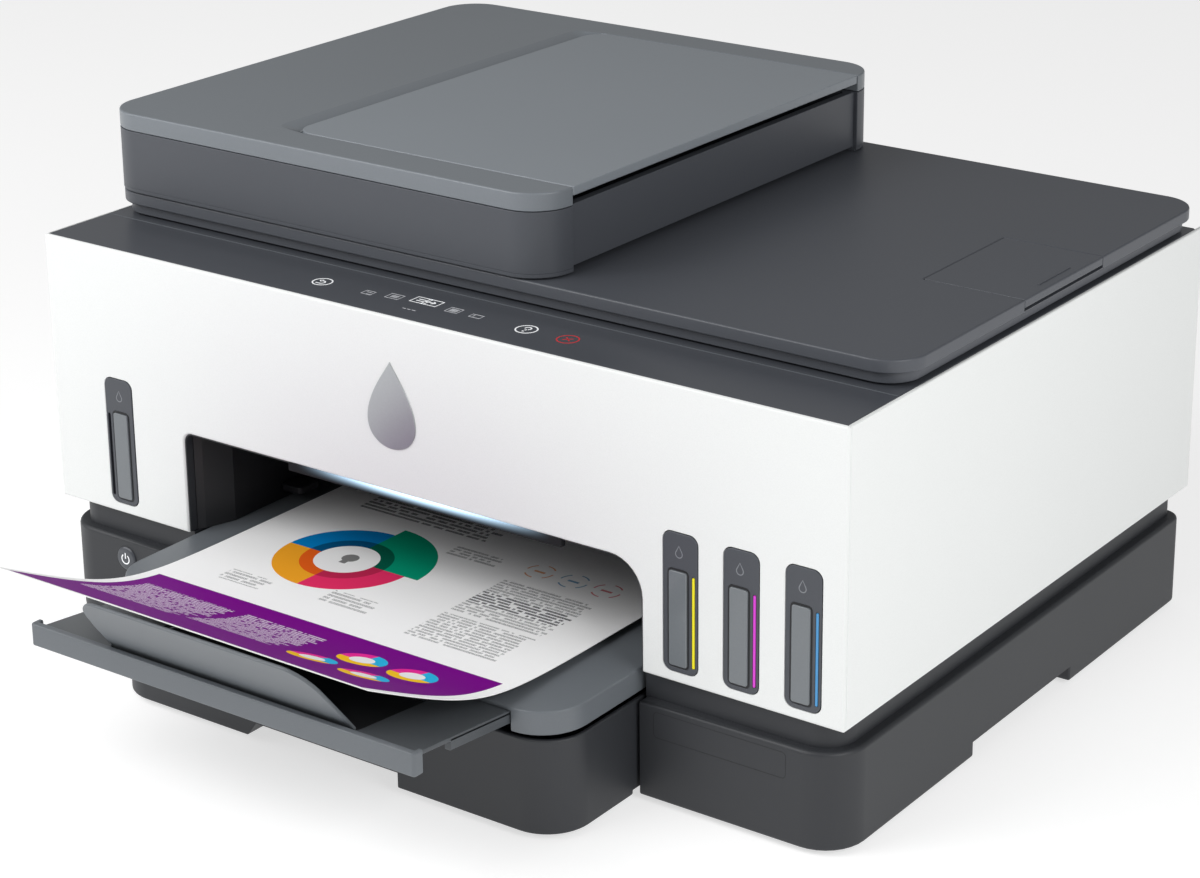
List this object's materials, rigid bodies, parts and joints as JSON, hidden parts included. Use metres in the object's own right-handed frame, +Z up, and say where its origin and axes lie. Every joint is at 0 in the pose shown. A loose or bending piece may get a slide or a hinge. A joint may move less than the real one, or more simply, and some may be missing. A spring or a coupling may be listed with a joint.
{
  "type": "inkjet printer",
  "caption": "Ink-tank inkjet printer with a flatbed scanner, a document feeder on its lid, a slide-out paper cassette and an extended output tray holding a printed sheet.",
  "frame": {"origin": "middle of the footprint of the whole part with its tray pulled out, at the underside of the feet", "axes": "+X to the right of a person facing the front, +Y to the back, +Z up"},
  "size_m": [0.449, 0.464, 0.247],
  "materials": {
    "white_shell": "fine satin white moulding",
    "charcoal_plastic": "fine-grained charcoal moulding",
    "graphite_plastic": "fine-grained graphite moulding",
    "slate_plastic": "smooth satin slate grey moulding",
    "black_plastic": "matt black moulding",
    "ink_tank": "smoked tank plastic",
    "scan_glass": "clear polished glass",
    "steel": "zinc-plated sheet steel",
    "rubber": "matt black rubber",
    "circuit_board": "green solder mask",
    "foam_pad": "white foam-backed film",
    "paper": "printed plain paper",
    "light_strip": "diffusing light guide"
  },
  "bodies": {
    "printer_base": {"base_tub": "charcoal_plastic", "foot_front_left": "rubber", "foot_front_right": "rubber", "foot_rear_left": "rubber", "foot_rear_right": "rubber", "front_panel": "white_shell", "side_panel_left": "white_shell", "side_panel_right": "white_shell", "rear_panel": "charcoal_plastic", "power_inlet": "black_plastic", "mouth_liner": "black_plastic", "status_light": "light_strip", "output_tray": "slate_plastic", "chassis_frame": "steel", "guide_rod": "steel", "carriage_belt": "rubber", "carriage_motor": "steel", "platen": "black_plastic", "service_station": "graphite_plastic", "power_supply": "steel", "main_board": "circuit_board", "ink_bezel_black": "graphite_plastic", "ink_bezel_yellow": "graphite_plastic", "ink_bezel_magenta": "graphite_plastic", "ink_bezel_cyan": "graphite_plastic", "ink_tank_black": "ink_tank", "ink_tank_yellow": "ink_tank", "ink_tank_magenta": "ink_tank", "ink_tank_cyan": "ink_tank"},
    "scanner_unit": {"scanner_base": "charcoal_plastic", "scanner_deck": "charcoal_plastic", "scan_glass": "scan_glass"},
    "scan_bar": {"scan_head": "black_plastic"},
    "lid": {"lid_plate": "graphite_plastic", "lid_pad": "foam_pad", "feeder_body": "graphite_plastic"},
    "document_stop": {"document_stop": "graphite_plastic"},
    "feeder_cover": {"feeder_cover": "slate_plastic"},
    "feeder_tray": {"feeder_tray": "slate_plastic"},
    "feeder_pick": {"feeder_pick_roller": "rubber"},
    "feeder_feed": {"feeder_feed_roller": "rubber"},
    "carriage": {"print_carriage": "black_plastic"},
    "idler": {"idler_pulley": "steel"},
    "drive": {"drive_pulley": "steel"},
    "exit_roller": {"exit_roller": "rubber"},
    "feed_roller": {"feed_roller": "rubber"},
    "pickup_roller": {"pickup_roller": "rubber"},
    "rear_door": {"rear_door": "charcoal_plastic"},
    "power_button": {"power_button": "charcoal_plastic"},
    "cassette": {"paper_cassette": "charcoal_plastic"},
    "guide_left": {"width_guide_left": "slate_plastic"},
    "guide_right": {"width_guide_right": "slate_plastic"},
    "guide_end": {"length_guide": "slate_plastic"},
    "extension": {"tray_extension": "slate_plastic"},
    "paper_stop": {"paper_stop": "slate_plastic"},
    "sheet": {"printed_sheet": "paper"},
    "cap_black": {"tank_cap_black": "graphite_plastic"},
    "cap_yellow": {"tank_cap_yellow": "graphite_plastic"},
    "cap_magenta": {"tank_cap_magenta": "graphite_plastic"},
    "cap_cyan": {"tank_cap_cyan": "graphite_plastic"}
  },
  "joints": [
    {"name": "scanner_unit_hinge", "type": "hinge", "parent": "printer_base", "child": "scanner_unit", "pos_m": [0, 0.223, 0.1825], "axis": [-1, 0, 0], "range_deg": [0, 35]},
    {"name": "scan_bar_slide", "type": "slide", "parent": "scanner_unit", "child": "scan_bar", "axis": [1, 0, 0], "range_m": [0, 0.31]},
    {"name": "lid_hinge", "type": "hinge", "parent": "scanner_unit", "child": "lid", "pos_m": [0, 0.229, 0.1995], "axis": [-1, 0, 0], "range_deg": [0, 85]},
    {"name": "document_stop_hinge", "type": "hinge", "parent": "lid", "child": "document_stop", "pos_m": [0.1744, 0.0905, 0.2061], "axis": [0, -1, 0], "range_deg": [0, 70]},
    {"name": "feeder_cover_hinge", "type": "hinge", "parent": "lid", "child": "feeder_cover", "pos_m": [-0.2236, 0.091, 0.2385], "axis": [0, -1, 0], "range_deg": [0, 65]},
    {"name": "feeder_tray_hinge", "type": "hinge", "parent": "lid", "child": "feeder_tray", "pos_m": [0.04, 0.091, 0.2448], "axis": [0, 1, 0], "range_deg": [0, 155]},
    {"name": "feeder_pick_spin", "type": "hinge", "parent": "lid", "child": "feeder_pick", "pos_m": [-0.1465, 0.091, 0.2265], "axis": [0, 1, 0], "continuous": true},
    {"name": "feeder_feed_spin", "type": "hinge", "parent": "lid", "child": "feeder_feed", "pos_m": [-0.1845, 0.091, 0.2235], "axis": [0, 1, 0], "continuous": true},
    {"name": "carriage_slide", "type": "slide", "parent": "printer_base", "child": "carriage", "axis": [1, 0, 0], "range_m": [-0.165, 0.142]},
    {"name": "drive_pulley_spin", "type": "hinge", "parent": "printer_base", "child": "drive", "pos_m": [0.1915, 0.1275, 0.1365], "axis": [0, 1, 0], "continuous": true},
    {"name": "idler_pulley_spin", "type": "hinge", "parent": "printer_base", "child": "idler", "pos_m": [-0.1905, 0.1275, 0.1365], "axis": [0, 1, 0], "continuous": true},
    {"name": "exit_roller_spin", "type": "hinge", "parent": "printer_base", "child": "exit_roller", "pos_m": [0, 0.067, 0.072], "axis": [1, 0, 0], "continuous": true},
    {"name": "feed_roller_spin", "type": "hinge", "parent": "printer_base", "child": "feed_roller", "pos_m": [0, 0.109, 0.0735], "axis": [1, 0, 0], "continuous": true},
    {"name": "pickup_roller_spin", "type": "hinge", "parent": "printer_base", "child": "pickup_roller", "pos_m": [-0.0085, 0.134, 0.061], "axis": [1, 0, 0], "continuous": true},
    {"name": "rear_door_hinge", "type": "hinge", "parent": "printer_base", "child": "rear_door", "pos_m": [0.0155, 0.229, 0.0785], "axis": [-1, 0, 0], "range_deg": [0, 80]},
    {"name": "power_button_press", "type": "slide", "parent": "printer_base", "child": "power_button", "axis": [0, 1, 0], "range_m": [0, 0.001], "stiffness_N_per_m": 500},
    {"name": "tank_cap_black_hinge", "type": "hinge", "parent": "printer_base", "child": "cap_black", "pos_m": [-0.1811, -0.047, 0.1338], "axis": [-1, 0, 0], "range_deg": [0, 100]},
    {"name": "tank_cap_yellow_hinge", "type": "hinge", "parent": "printer_base", "child": "cap_yellow", "pos_m": [0.143, -0.047, 0.1338], "axis": [-1, 0, 0], "range_deg": [0, 100]},
    {"name": "tank_cap_magenta_hinge", "type": "hinge", "parent": "printer_base", "child": "cap_magenta", "pos_m": [0.1735, -0.047, 0.1338], "axis": [-1, 0, 0], "range_deg": [0, 100]},
    {"name": "tank_cap_cyan_hinge", "type": "hinge", "parent": "printer_base", "child": "cap_cyan", "pos_m": [0.204, -0.047, 0.1338], "axis": [-1, 0, 0], "range_deg": [0, 100]},
    {"name": "cassette_slide", "type": "slide", "parent": "printer_base", "child": "cassette", "axis": [0, -1, 0], "range_m": [0, 0.2]},
    {"name": "width_guide_left_slide", "type": "slide", "parent": "cassette", "child": "guide_left", "axis": [1, 0, 0], "range_m": [0, 0.045]},
    {"name": "width_guide_right_slide", "type": "slide", "parent": "cassette", "child": "guide_right", "axis": [-1, 0, 0], "range_m": [0, 0.045]},
    {"name": "length_guide_slide", "type": "slide", "parent": "cassette", "child": "guide_end", "axis": [0, 1, 0], "range_m": [0, 0.08]},
    {"name": "tray_extension_slide", "type": "slide", "parent": "printer_base", "child": "extension", "axis": [0, -0.9945, 0.1045], "range_m": [-0.052, 0]},
    {"name": "paper_stop_hinge", "type": "hinge", "parent": "extension", "child": "paper_stop", "pos_m": [-0.0085, -0.2055, 0.0635], "axis": [1, 0, 0], "range_deg": [-133, 0], "deforming": ["printed_sheet"]},
    {"name": "sheet_slide", "type": "slide", "parent": "printer_base", "child": "sheet", "axis": [0, -1, 0], "range_m": [-0.052, 0]}
  ],
  "couplings": [
    {"joint": "drive_pulley_spin", "follows": "carriage_slide", "rad_per_m": 125},
    {"joint": "idler_pulley_spin", "follows": "carriage_slide", "rad_per_m": 125},
    {"joint": "feed_roller_spin", "follows": "exit_roller_spin", "ratio": 0.75},
    {"joint": "pickup_roller_spin", "follows": "exit_roller_spin", "ratio": 0.5},
    {"joint": "feeder_feed_spin", "follows": "feeder_pick_spin", "ratio": 0.7727},
    {"joint": "width_guide_right_slide", "follows": "width_guide_left_slide", "ratio": 1},
    {"joint": "sheet_slide", "follows": "tray_extension_slide", "ratio": 0.9945}
  ]
}
